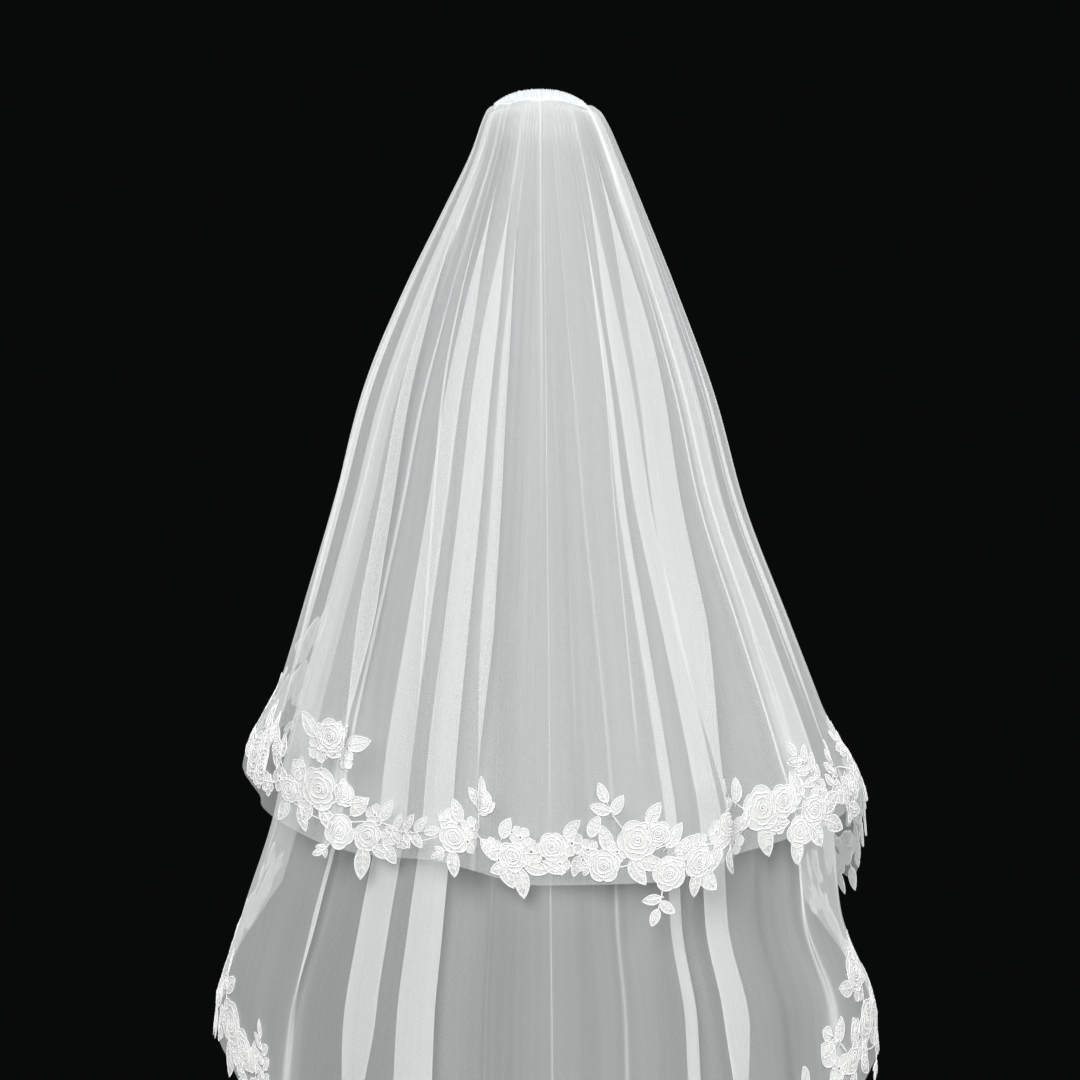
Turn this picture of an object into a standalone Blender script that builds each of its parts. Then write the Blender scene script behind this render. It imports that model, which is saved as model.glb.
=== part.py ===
"""A two-tier bridal veil of soft tulle, in the hollow form that it takes when it is worn.

The cloth is gathered into a short heading over a clear comb at the top of the head. From there two
tiers fall round the head, the shoulders and the arms, open in front, and each has a lace garland on
its hem. The shape is a stack of horizontal sections. Folded pleats run down through them and fan out
from the comb. The upper tier's pleats stand outwards from its sections and the lower tier's stand
inwards, so the two sheets hang one inside the other and never meet.

Metres, +Z up. The origin is the middle of the heading's underside, where the comb is sewn on. The
wearer faces +Y, so -Y is the back of the veil and +X the wearer's right. A drop is measured down
from the veil's highest point.
"""

import math

import bpy
import numpy as np

# Driving dimensions
TOP = 0.018
WALL = 0.0010
LACE = 0.0012
SEAM_GAP = 0.0004
LACE_GAP = 0.0008
WRAP = math.radians(118)
TIER_GAP_TOP = 0.0016
TIER_GAP_HEM = 0.0060
REFERENCE_DROP = 0.78
SETTLE = 0.070
COLUMN_SPACING = 0.048
OPEN_FROM = 0.30
OPEN_BY = 0.04
CLIMB_EARLY = 0.14

HEADING_LENGTH = 0.108
HEADING_HEIGHT = 0.0135
HEADING_DEPTH = 0.017
HEADING_ARCH = 0.009
SAG_FADE = 0.012
HEADING_GATHERS = 24
HEADING_RIDGE = 0.0009

COMB_LENGTH = 0.088
COMB_RAIL = 0.008
COMB_TEETH = 19
COMB_TOOTH_LENGTH = 0.040
COMB_TOOTH_WIDTH = 0.0024
COMB_THICKNESS = 0.0022
COMB_BEND = 0.006

# Each row is one horizontal section of the veil: how far down it lies, how far the cloth reaches to
# the left and to the right of the middle, behind it and in front of it.
SECTION_COLUMNS = ("drop", "left", "right", "back", "front")
SECTIONS = (
    (0.0155, 0.0480, 0.0480, 0.0090, 0.0085),
    (0.0185, 0.0530, 0.0560, 0.0200, 0.0120),
    (0.0230, 0.0580, 0.0640, 0.0360, 0.0180),
    (0.0350, 0.0640, 0.0730, 0.0570, 0.0270),
    (0.0780, 0.0780, 0.0920, 0.0870, 0.0500),
    (0.1480, 0.1090, 0.1190, 0.1030, 0.0740),
    (0.2430, 0.1520, 0.1540, 0.1150, 0.1010),
    (0.3630, 0.1980, 0.1940, 0.1300, 0.1280),
    (0.4830, 0.2300, 0.2250, 0.1450, 0.1480),
    (0.6230, 0.2700, 0.2770, 0.1590, 0.1710),
    (0.7730, 0.3120, 0.3320, 0.1740, 0.1900),
    (0.8430, 0.3250, 0.3540, 0.1800, 0.1970),
    (0.9530, 0.3600, 0.3640, 0.1920, 0.2060),
    (1.0630, 0.3900, 0.4020, 0.2060, 0.2150),
    (1.5000, 0.4250, 0.4320, 0.2620, 0.2400),
)

# Each row is one pleat: its angle round the back at the top and at the hem, in degrees, the width of
# its bend, how many times that width of cloth is folded over, how far it stands off the section,
# which way it leans (1 has the raised side on the right) and the drop at which the fold is full.
PLEATS = {
    "upper": (
        (-84, -86, 0.030, 0.7, 0.010, -1, 0.50),
        (-67, -67, 0.024, 1.0, 0.010, 1, 0.45),
        (-46, -43, 0.030, 2.0, 0.021, -1, 0.32),
        (-27, -26, 0.016, 0.9, 0.008, 1, 0.35),
        (-11, -12, 0.018, 1.8, 0.014, -1, 0.34),
        (8, 7, 0.016, 0.8, 0.008, 1, 0.35),
        (39, 35, 0.032, 2.0, 0.024, -1, 0.32),
        (55, 54, 0.018, 1.5, 0.015, 1, 0.36),
        (68, 67, 0.019, 1.3, 0.012, -1, 0.40),
        (81, 82, 0.024, 0.8, 0.009, 1, 0.50),
    ),
    "lower": (
        (-72, -73, 0.028, 0.8, 0.011, -1, 0.50),
        (-50, -50, 0.018, 1.8, 0.015, 1, 0.36),
        (-34, -34, 0.035, 1.9, 0.024, -1, 0.30),
        (-19, -20, 0.035, 2.2, 0.022, 1, 0.30),
        (-8, -8, 0.013, 1.1, 0.008, -1, 0.35),
        (2, 2, 0.013, 1.1, 0.008, 1, 0.35),
        (14, 14, 0.015, 0.8, 0.007, -1, 0.40),
        (25, 25, 0.017, 1.8, 0.014, 1, 0.32),
        (35, 35, 0.028, 1.9, 0.019, -1, 0.32),
        (46, 46, 0.016, 1.1, 0.009, 1, 0.36),
        (59, 59, 0.026, 1.4, 0.016, -1, 0.34),
        (76, 77, 0.026, 0.8, 0.010, 1, 0.50),
    ),
}

# Each row is a place where the upper tier's hem flares: its angle round the back in degrees, how far
# out it stands and how wide it is.
FLARES = ((-92, 0.019, 20), (82, 0.014, 13), (106, 0.016, 12))
FLARE_HEIGHT = 0.10

# Each row is how far down a tier's hem lies at one angle round the back, in degrees.
HEM_COLUMNS = ("angle", "upper", "lower")
HEMS = (
    (-118, 0.731, 0.938),
    (-106, 0.763, 1.003),
    (-90, 0.795, 1.063),
    (-70, 0.825, 1.108),
    (-52, 0.856, 1.198),
    (-36, 0.878, 1.318),
    (-20, 0.882, 1.423),
    (0, 0.908, 1.483),
    (20, 0.906, 1.423),
    (36, 0.880, 1.318),
    (52, 0.861, 1.203),
    (70, 0.835, 1.133),
    (88, 0.819, 1.093),
    (106, 0.933, 1.023),
    (118, 0.878, 0.958),
)

# The rows of a tier's mesh: the same drops in both tiers as far as SHARED_DROP, from there shares of
# what is left to the row above the lace, and last the hem.
LACE_ROW = 0.088
SHARED_DROP = 0.483
SHARED_ROWS = (0.0155, 0.0185, 0.0230, 0.036, 0.078, 0.148, 0.243, 0.360, SHARED_DROP)
FREE_ROWS = {"upper": (0.45, 0.78, 1.0), "lower": (0.3, 0.6, 0.87, 1.0)}

# The garland over one repeat: where along the hem, how far its leaves and roses reach above and
# below the tulle's edge, and 1 at an open place between leaves.
GARLAND_COLUMNS = ("along", "above", "below", "open")
GARLAND_REPEAT = 0.250
GARLAND_STEP = 0.0150
GARLAND = (
    (0.000, 0.030, 0.004, 0),
    (0.016, 0.038, 0.010, 0),
    (0.030, 0.026, 0.004, 0),
    (0.046, 0.062, 0.003, 1),
    (0.062, 0.044, 0.008, 0),
    (0.078, 0.078, 0.010, 0),
    (0.094, 0.050, 0.016, 0),
    (0.112, 0.056, 0.004, 0),
    (0.128, 0.048, 0.018, 0),
    (0.146, 0.042, 0.006, 1),
    (0.162, 0.064, 0.012, 0),
    (0.178, 0.030, 0.003, 0),
    (0.196, 0.042, 0.010, 0),
    (0.214, 0.026, 0.002, 0),
    (0.232, 0.044, 0.008, 0),
)
GARLAND_ROWS = (1.0, 0.6, 0.3, 0.0)
GARLAND_INSET = 0.004
ROSE_ALONG = 0.104
ROSE_ABOVE = 0.020
ROSE_RADIUS = 0.030
ROSE_RISE = 0.0016


def table_column(rows, names, name):
    """One named column of a table as an array."""
    return np.array([row[names.index(name)] for row in rows], float)


def smooth_step(x):
    """0 below 0, 1 above 1, and a smooth S between."""
    x = np.clip(x, 0.0, 1.0)
    return x * x * (3 - 2 * x)


def smooth_curve(x, known, values):
    """A curve through known values that doesn't overshoot: cubics whose slope at each value is the
    harmonic mean of the steps on either side, or level where those steps change sign."""
    steps = np.diff(values) / np.diff(known)
    products = steps[:-1] * steps[1:]
    sums = np.where(products > 0, steps[:-1] + steps[1:], 1.0)
    slopes = np.concatenate([steps[:1], 2 * np.maximum(products, 0) / sums, steps[-1:]])
    i = np.clip(np.searchsorted(known, x) - 1, 0, len(known) - 2)
    width = known[i + 1] - known[i]
    t = (x - known[i]) / width
    start = values[i] * (1 + 2 * t) + slopes[i] * width * t
    end = values[i + 1] * (3 - 2 * t) + slopes[i + 1] * width * (t - 1)
    return start * (1 - t) ** 2 + end * t**2


def section_size(name, drop):
    """A section's half width or depth at any drop."""
    drops = table_column(SECTIONS, SECTION_COLUMNS, "drop")
    return smooth_curve(drop, drops, table_column(SECTIONS, SECTION_COLUMNS, name))


def heading_sag(x):
    """How far the heading's arch has fallen at a distance from its middle."""
    return HEADING_ARCH * (2 * x / HEADING_LENGTH) ** 2


def mean_point(angle, drop):
    """Where the unpleated cloth lies: half an ellipse behind and a shallower one in front."""
    left, right = section_size("left", drop), section_size("right", drop)
    back, front = section_size("back", drop), section_size("front", drop)
    reach = left + (right - left) * smooth_step((np.sin(angle) + 0.6) / 1.2)
    depth = front + (back - front) * smooth_step((np.cos(angle) + 0.3) / 0.6)
    x = reach * np.sin(angle)
    first = SECTIONS[0][0]
    sag = heading_sag(np.clip(x, -0.054, 0.054)) * np.clip(1 - (drop - first) / SAG_FADE, 0, 1)
    return np.stack([x, -depth * np.cos(angle), TOP - drop - sag], -1)


def mean_normal(angle, drop):
    """The unpleated cloth's outward unit normal, from differences along it and down it."""
    turn, fall = 1e-3, 2e-4
    above = np.maximum(drop - fall, SECTIONS[0][0])
    across = mean_point(angle + turn, drop) - mean_point(angle - turn, drop)
    down = mean_point(angle, above + 2 * fall) - mean_point(angle, above)
    normal = np.cross(down, across)
    return normal / np.linalg.norm(normal, axis=-1, keepdims=True)


def reference_run():
    """Angles and how far along the section at the reference drop each lies, 0 at the back."""
    angles = np.linspace(-WRAP, WRAP, 721)
    points = mean_point(angles, np.full_like(angles, REFERENCE_DROP))
    steps = np.linalg.norm(np.diff(points, axis=0), axis=1)
    run = np.concatenate([[0.0], np.cumsum(steps)])
    return angles, run - np.interp(0.0, angles, run)


def section_scale(drop):
    """A section's size as a share of the reference section's, up to 1."""
    size = sum(section_size(name, drop) for name in ("left", "right", "back"))
    there = sum(section_size(name, np.array(REFERENCE_DROP)) for name in ("left", "right", "back"))
    return np.minimum(size / there, 1.0)


def pleated(tier, run, drop, to_hem):
    """(run moved along the section, height off it) for places along the cloth at their drops.

    In a pleat the cloth runs on, back and on again: its place moves by -A v exp(-v v), v being the
    distance from the pleat's middle in widths. Meanwhile it climbs by half of 1 + tanh(1.5 v) times
    the height, and settles back over the next stretch. The section's curve would press the pleat's
    two turns together, so it climbs a little early outside the section and a little late inside it.
    At the heading a pleat is only a ripple, and near the hem the lace holds it open.
    """
    angles, run_of = reference_run()
    down = smooth_step((drop - 0.15) / 0.65)
    early = CLIMB_EARLY if tier == "upper" else -CLIMB_EARLY
    opened = 0.3 + 0.7 * smooth_step((to_hem - OPEN_BY) / (OPEN_FROM - OPEN_BY))
    moved = height = 0 * run
    for top, hem, width, folded, stands, lean, full in PLEATS[tier]:
        first, last = np.interp(np.radians([top, hem]), angles, run_of)
        v = lean * (run - last) / width
        strength = 0.2 + 0.8 * smooth_step((drop - 0.05) / (full - 0.05))
        over = np.minimum(folded, folded * opened + 0.1) * strength
        moved = moved - lean * over * width * v * np.exp(-v * v)
        moved = moved + (first - last) * (1 - down) * np.exp(-((v / 4) ** 2))
        settled = np.exp(-((np.maximum(v - 1.5, 0) * width / SETTLE) ** 2))
        climb = 0.5 * (1 + np.tanh(1.5 * (v + early))) * settled
        height = height + stands * (0.45 + 0.55 * strength) * climb
    return run + moved, height


def tier_columns(tier, spacing):
    """Places along the cloth for a tier's mesh columns: evenly apart, and closer in its pleats."""
    angles, run_of = reference_run()
    fine = np.linspace(run_of[0], run_of[-1], 4001)
    density = 1 / spacing + 0 * fine
    for _, hem, width, folded, _, _, _ in PLEATS[tier]:
        v = (fine - np.interp(math.radians(hem), angles, run_of)) / width
        density = density + (0.7 + 1.25 * min(folded, 2.0)) / width * np.exp(-(v**4) / 8)
    total = np.cumsum(density) * (fine[1] - fine[0])
    return np.interp(np.linspace(total[0], total[-1], int(total[-1])), total, fine)


def hem_drops(tier, run):
    """How far down a tier's hem lies at each place along its cloth."""
    angles, run_of = reference_run()
    moved, _ = pleated(tier, run, np.full_like(run, REFERENCE_DROP), 0.0)
    angle = np.degrees(np.interp(moved, run_of, angles))
    lengths = table_column(HEMS, HEM_COLUMNS, tier)
    return smooth_curve(angle, table_column(HEMS, HEM_COLUMNS, "angle"), lengths)


def tier_surface(tier, run, drop, to_hem):
    """A tier's middle surface for places along its cloth, their drops and what is left to the hem."""
    side = 1 if tier == "upper" else -1
    angles, run_of = reference_run()
    moved, height = pleated(tier, run, drop, to_hem)
    angle = np.interp(moved, run_of, angles)
    gap = TIER_GAP_TOP + (TIER_GAP_HEM - TIER_GAP_TOP) * smooth_step(drop / 0.5)
    stand = side * (gap / 2 + height * section_scale(drop))
    if tier == "upper":
        for middle, out, width in FLARES:
            near = np.exp(-(((angle - math.radians(middle)) / math.radians(width)) ** 2))
            stand = stand + out * near * smooth_step(1 - to_hem / FLARE_HEIGHT)
    return mean_point(angle, drop) + mean_normal(angle, drop) * stand[..., None]


def tier_drops(tier, run):
    """The drop of each of a tier's mesh rows at each place along the cloth."""
    hem = hem_drops(tier, run)
    rows = [np.full_like(run, drop) for drop in SHARED_ROWS]
    rows += [SHARED_DROP + share * (hem - LACE_ROW - SHARED_DROP) for share in FREE_ROWS[tier]]
    return np.stack([*rows, hem])


def surface_normals(points):
    """Outward unit normals of a grid of points. Across the grid each halves the corner between its
    two neighbours, however far they are, so that a wall doesn't cross itself at a sharp fold."""
    across = np.diff(points, axis=1)
    across /= np.linalg.norm(across, axis=-1, keepdims=True)
    across = np.concatenate([across[:, :1], across[:, :-1] + across[:, 1:], across[:, -1:]], axis=1)
    normals = np.cross(np.gradient(points, axis=0), across)
    return normals / np.linalg.norm(normals, axis=-1, keepdims=True)


def grid_faces(rows, columns):
    """The two triangles of each cell of a grid whose first row is the top, facing out. Every cell is
    split from its upper left corner, so that walls and lace are split alike."""
    index = np.arange(rows * columns).reshape(rows, columns)
    corner, below, across, right = index[:-1, :-1], index[1:, :-1], index[1:, 1:], index[:-1, 1:]
    lower_left = np.stack([corner, below, across], -1)
    return np.stack([lower_left, np.stack([corner, across, right], -1)], 2)


def linked_object(name, points, faces, finish, collection):
    """A mesh object with a material, in the collection."""
    mesh = bpy.data.meshes.new(name)
    mesh.from_pydata(points.tolist(), [], faces)
    mesh.materials.append(finish)
    made = bpy.data.objects.new(name, mesh)
    collection.objects.link(made)
    return made


def walled_object(name, inner, outer, faces, finish, collection):
    """A closed wall between two grids of points that share their triangles."""
    inner, outer = inner.reshape(-1, 3), outer.reshape(-1, 3)
    faces = faces.reshape(-1, 3)
    edges = np.concatenate([faces[:, [i, (i + 1) % 3]] for i in range(3)])
    _, which, counts = np.unique(np.sort(edges, axis=1), axis=0, return_index=True, return_counts=True)
    start, end = edges[which[counts == 1]].T
    count = len(inner)
    sides = [np.stack([end, start, start + count], -1), np.stack([end, start + count, end + count], -1)]
    every = np.concatenate([faces, faces[:, ::-1] + count, *sides])
    used, flat = np.unique(every, return_inverse=True)
    points = np.concatenate([outer, inner])[used]
    made = linked_object(name, points, flat.reshape(-1, 3).tolist(), finish, collection)
    made.data.shade_smooth()
    return made


def tier_object(tier, points, finish, collection):
    """A tier's middle surface made a wall."""
    half = surface_normals(points) * WALL / 2
    faces = grid_faces(*points.shape[:2])
    return walled_object(f"{tier}_tier", points - half, points + half, faces, finish, collection)


def garland_value(name, along):
    """A column of the garland's table at places along the hem, repeated."""
    places = np.append(table_column(GARLAND, GARLAND_COLUMNS, "along"), GARLAND_REPEAT)
    values = table_column(GARLAND, GARLAND_COLUMNS, name)
    return np.interp(along % GARLAND_REPEAT, places, np.append(values, values[0]))


def on_last_cells(values, column, share):
    """Values at places on the triangles of a grid's last row of cells: column counts along the grid,
    and share rises from 0 on the last line of points to 1 on the one above it."""
    j = np.minimum(column.astype(int), values.shape[1] - 2)
    part = (column - j)[:, None]
    edge, edge_next = values[-1, j], values[-1, j + 1]
    top, top_next = values[-2, j], values[-2, j + 1]
    low = edge + part * (edge_next - edge) + share * (top - edge)
    high = (1 - part) * top + (1 - share) * edge_next + (part + share - 1) * top_next
    past = edge + part * (edge_next - edge) + share * (top - edge + part * (top_next - top - edge_next + edge))
    return np.where(share < 0, past, np.where(part + share <= 1, low, high))


def lace_object(tier, points, finish, collection):
    """The garland on a tier's hem: a wall with leafy edges, made of points on the tier's own
    triangles moved out along its normals, with its roses raised in the outer points only."""
    steps = np.linalg.norm(np.diff(points[-1], axis=0), axis=1)
    parts = np.maximum(np.ceil(steps / GARLAND_STEP), 1).astype(int)
    column = np.concatenate([i + np.arange(n) / n for i, n in enumerate(parts)])
    ends = GARLAND_INSET / steps[[0, -1]]
    column = np.concatenate([[ends[0]], column[1:], [len(steps) - ends[1]]])
    length = np.concatenate([[0.0], np.cumsum(steps)])
    along = np.interp(column, np.arange(len(length)), length)
    above, below = garland_value("above", along), garland_value("below", along)
    heights = np.array(GARLAND_ROWS)[:, None] * (above + below) - below
    normals = surface_normals(points)
    share = heights / np.interp(column, np.arange(len(length)), np.linalg.norm(points[-2] - points[-1], axis=1))
    middle = np.stack([on_last_cells(points, column, row[:, None]) for row in share])
    outward = np.stack([on_last_cells(normals, column, row[:, None]) for row in share])
    inner = middle + outward * (WALL / 2 + LACE_GAP)
    half_repeat = GARLAND_REPEAT / 2
    from_rose = (along - ROSE_ALONG + half_repeat) % GARLAND_REPEAT - half_repeat
    from_rose = np.hypot(from_rose, heights - ROSE_ABOVE)
    raised = ROSE_RISE * np.clip(1 - (from_rose / ROSE_RADIUS) ** 2, 0, 1)
    outer = inner + outward * (LACE + raised)[..., None]
    faces = grid_faces(len(GARLAND_ROWS), len(column))
    kept = np.ones(faces.shape[:2], bool)
    kept[1, 1:-1] = garland_value("open", along[1:-2]) < 0.6
    return walled_object(f"{tier}_lace", inner, outer, faces[kept], finish, collection)


def heading_object(finish, collection):
    """The gathered roll over the comb: an arched bolster whose surface has one ridge a gather."""
    stations = np.linspace(-1, 1, 2 * HEADING_GATHERS + 1)
    around = np.pi / 2 + np.linspace(0, 2 * np.pi, 10, endpoint=False)
    x = stations * HEADING_LENGTH / 2
    full = (1 - 0.45 * np.abs(stations) ** 10)[:, None]
    ridge = HEADING_RIDGE * np.cos(stations * np.pi * HEADING_GATHERS)[:, None]
    y = full * (HEADING_DEPTH / 2 - HEADING_RIDGE + ridge) * np.cos(around)
    z = full * (HEADING_HEIGHT / 2 - HEADING_RIDGE + ridge) * np.sin(around)
    middle = TOP - HEADING_HEIGHT / 2 - heading_sag(x)
    rings = np.stack([x[:, None] + 0 * y, y, middle[:, None] + z], -1)
    count, sides = rings.shape[:2]
    index = np.arange(count * sides).reshape(count, sides)
    after = np.roll(index, -1, axis=1)
    faces = np.stack([index[:-1], after[:-1], after[1:], index[1:]], -1).reshape(-1, 4).tolist()
    faces += [index[0, ::-1].tolist(), index[-1].tolist()]
    made = linked_object("heading", rings.reshape(-1, 3), faces, finish, collection)
    made.data.shade_smooth()
    return made


def comb_object(finish, collection):
    """The clear comb: a rail that follows the heading's arch, with tapered teeth under it.

    It is one outline, down and up each tooth and back along the rail, with a front and a back, bent
    towards the head.
    """
    half = COMB_TOOTH_WIDTH / 2
    tooth = ((-half, 0.0), (-half, 0.5), (-half * 0.7, 0.85), (-half * 0.3, 1.0))
    outline = [(-COMB_LENGTH / 2, -COMB_RAIL)]
    for number in range(COMB_TEETH):
        middle = (number + 0.5 - COMB_TEETH / 2) * COMB_LENGTH / COMB_TEETH
        down = [(x, -COMB_RAIL - share * COMB_TOOTH_LENGTH) for x, share in tooth]
        outline += [(middle + x, z) for x, z in down] + [(middle - x, z) for x, z in reversed(down)]
    outline += [(COMB_LENGTH / 2, -COMB_RAIL)]
    outline += [(x, 0.0) for x in np.linspace(COMB_LENGTH / 2, -COMB_LENGTH / 2, 9)]
    x, z = np.array(outline).T
    bend = COMB_BEND * (z / (COMB_RAIL + COMB_TOOTH_LENGTH)) ** 2
    z = z + TOP - HEADING_HEIGHT - SEAM_GAP - heading_sag(x)
    sides = [np.stack([x, bend + y, z], -1) for y in (-COMB_THICKNESS / 2, COMB_THICKNESS / 2)]
    count = len(outline)
    faces = [list(range(count)), list(range(2 * count - 1, count - 1, -1))]
    faces += [[(i + 1) % count, i, i + count, (i + 1) % count + count] for i in range(count)]
    return linked_object("comb", np.concatenate(sides), faces, finish, collection)


def material(name, colour, roughness, alpha=1.0):
    """A plain Principled material."""
    made = bpy.data.materials.new(name)
    made.use_nodes = True
    shader = made.node_tree.nodes["Principled BSDF"]
    shader.inputs["Base Color"].default_value = (*colour, 1.0)
    shader.inputs["Roughness"].default_value = roughness
    shader.inputs["Metallic"].default_value = 0.0
    shader.inputs["Alpha"].default_value = alpha
    return made


def main():
    for found in list(bpy.data.objects):
        bpy.data.objects.remove(found)
    collection = bpy.data.collections.new("bridal_veil")
    bpy.context.scene.collection.children.link(collection)
    comb_object(material("clear_plastic", (0.86, 0.88, 0.88), 0.2, 0.5), collection)
    heading_object(material("gathered_tulle", (0.93, 0.94, 0.93), 0.8), collection)
    for tier, shade in (("upper", 0.93), ("lower", 0.90)):
        run = tier_columns(tier, COLUMN_SPACING)
        drops = tier_drops(tier, run)
        points = tier_surface(tier, run[None, :], drops, drops[-1] - drops)
        tulle = material(f"{tier}_tulle", (shade, shade, shade), 0.8, 0.5)
        tier_object(tier, points, tulle, collection)
        lace = material(f"{tier}_corded_lace", (0.95, 0.95, 0.94), 0.75)
        lace_object(tier, points, lace, collection)


main()
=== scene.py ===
"""A two-tier bridal veil of soft tulle with corded floral lace on both hems, worn over an open hollow.

Each tier is one thin sheet over its solid's form: a stack of horizontal sections with folded pleats
running down through them, finer here than in the solids, with the gathers under the heading and the
small creases between the pleats. The lace is made flat, motif by motif, then laid on the sheet.

Metres, +Z up. The origin is the middle of the heading's underside, -Y is the back of the veil and +X
the wearer's right. A drop is measured down from the veil's highest point.
"""

import math

import bpy
import numpy as np
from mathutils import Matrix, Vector


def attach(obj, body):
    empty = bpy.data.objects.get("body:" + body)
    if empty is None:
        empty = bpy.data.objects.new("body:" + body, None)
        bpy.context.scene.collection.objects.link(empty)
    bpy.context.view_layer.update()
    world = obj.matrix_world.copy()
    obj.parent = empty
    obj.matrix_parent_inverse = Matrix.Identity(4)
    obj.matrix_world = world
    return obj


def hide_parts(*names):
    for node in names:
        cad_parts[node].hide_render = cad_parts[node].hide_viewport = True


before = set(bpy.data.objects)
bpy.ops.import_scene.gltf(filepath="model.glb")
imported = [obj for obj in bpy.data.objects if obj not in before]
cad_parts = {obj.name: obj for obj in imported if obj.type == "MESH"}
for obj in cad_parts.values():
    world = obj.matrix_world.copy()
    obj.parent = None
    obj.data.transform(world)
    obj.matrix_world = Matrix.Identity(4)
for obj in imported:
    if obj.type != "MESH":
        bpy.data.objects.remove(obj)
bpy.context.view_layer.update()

# The veil's sizes, the same as its solids': its highest point, how far round the wearer it goes, and
# the gap between the tiers at the heading and from GAP_FULL_AT down
TOP = 0.018
WRAP = math.radians(118)
TIER_GAP_TOP = 0.0016
TIER_GAP_HEM = 0.0060
GAP_FULL_AT = 0.5

# The section that distances along the cloth are measured on, the most that a pleat takes to settle
# back, from how far above the hem and by where the lace holds the pleats open, and how many widths
# early a pleat of the upper tier climbs
REFERENCE_DROP = 0.78
SETTLE = 0.070
OPEN_FROM = 0.30
OPEN_BY = 0.04
CLIMB_EARLY = 0.14

# The heading and the comb under it
HEADING_LENGTH = 0.108
HEADING_HEIGHT = 0.0135
HEADING_DEPTH = 0.017
HEADING_ARCH = 0.009
SAG_FADE = 0.012
COMB_LENGTH = 0.088
COMB_RAIL = 0.008
COMB_TEETH = 19

# How far past the middle, as a sine or cosine of the angle, a section's left half blends into its
# right one and its front into its back
SIDE_BLEND = 0.6
DEPTH_BLEND = 0.3

# Each row is one horizontal section: how far down it lies, how far the cloth reaches to the left and
# to the right of the middle, behind it and in front of it.
SECTION_COLUMNS = ("drop", "left", "right", "back", "front")
SECTIONS = (
    (0.0155, 0.0480, 0.0480, 0.0090, 0.0085),
    (0.0185, 0.0530, 0.0560, 0.0200, 0.0120),
    (0.0230, 0.0580, 0.0640, 0.0360, 0.0180),
    (0.0350, 0.0640, 0.0730, 0.0570, 0.0270),
    (0.0780, 0.0780, 0.0920, 0.0870, 0.0500),
    (0.1480, 0.1090, 0.1190, 0.1030, 0.0740),
    (0.2430, 0.1520, 0.1540, 0.1150, 0.1010),
    (0.3630, 0.1980, 0.1940, 0.1300, 0.1280),
    (0.4830, 0.2300, 0.2250, 0.1450, 0.1480),
    (0.6230, 0.2700, 0.2770, 0.1590, 0.1710),
    (0.7730, 0.3120, 0.3320, 0.1740, 0.1900),
    (0.8430, 0.3250, 0.3540, 0.1800, 0.1970),
    (0.9530, 0.3600, 0.3640, 0.1920, 0.2060),
    (1.0630, 0.3900, 0.4020, 0.2060, 0.2150),
    (1.5000, 0.4250, 0.4320, 0.2620, 0.2400),
)

# The drop of the cloth's top edge
CLOTH_TOP = SECTIONS[0][0]

# Each row is one pleat: its angle round the back at the top and at the hem, in degrees, the width of
# its bend, how many times that width of cloth is folded over, how far it stands off the section,
# which way it leans (1 has the raised side on the right) and the drop at which the fold is full.
PLEATS = {
    "upper": (
        (-84, -86, 0.030, 0.7, 0.010, -1, 0.50),
        (-67, -67, 0.024, 1.0, 0.010, 1, 0.45),
        (-46, -43, 0.030, 2.0, 0.021, -1, 0.32),
        (-27, -26, 0.016, 0.9, 0.008, 1, 0.35),
        (-11, -12, 0.018, 1.8, 0.014, -1, 0.34),
        (8, 7, 0.016, 0.8, 0.008, 1, 0.35),
        (39, 35, 0.032, 2.0, 0.024, -1, 0.32),
        (55, 54, 0.018, 1.5, 0.015, 1, 0.36),
        (68, 67, 0.019, 1.3, 0.012, -1, 0.40),
        (81, 82, 0.024, 0.8, 0.009, 1, 0.50),
    ),
    "lower": (
        (-72, -73, 0.028, 0.8, 0.011, -1, 0.50),
        (-50, -50, 0.018, 1.8, 0.015, 1, 0.36),
        (-34, -34, 0.035, 1.9, 0.024, -1, 0.30),
        (-19, -20, 0.035, 2.2, 0.022, 1, 0.30),
        (-8, -8, 0.013, 1.1, 0.008, -1, 0.35),
        (2, 2, 0.013, 1.1, 0.008, 1, 0.35),
        (14, 14, 0.015, 0.8, 0.007, -1, 0.40),
        (25, 25, 0.017, 1.8, 0.014, 1, 0.32),
        (35, 35, 0.028, 1.9, 0.019, -1, 0.32),
        (46, 46, 0.016, 1.1, 0.009, 1, 0.36),
        (59, 59, 0.026, 1.4, 0.016, -1, 0.34),
        (76, 77, 0.026, 0.8, 0.010, 1, 0.50),
    ),
}

# Which share of its fold and of its height a pleat has at the heading and at the hem, and how many of
# its widths the hem leaves folded besides; from which drop it grows, from which drop to which the
# pleats fan out, how many widths of it drift with that, how steeply it climbs, and where and over how
# many widths it settles back
FOLD_AT_HEADING = 0.2
FOLD_AT_HEM = 0.3
HEM_LEAVES = 0.1
HEIGHT_AT_HEADING = 0.45
PLEAT_FROM = 0.05
FAN_FROM = 0.15
FAN_TO = 0.80
DRIFT_WIDTHS = 4
CLIMB_STEEPNESS = 1.5
SETTLE_AFTER = 1.5
SETTLE_WIDTHS = 5

# Each row is a place where the upper tier's hem flares: its angle round the back in degrees, how far
# out it stands and how wide it is.
FLARES = ((-92, 0.019, 20), (82, 0.014, 13), (106, 0.016, 12))
FLARE_HEIGHT = 0.10

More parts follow.
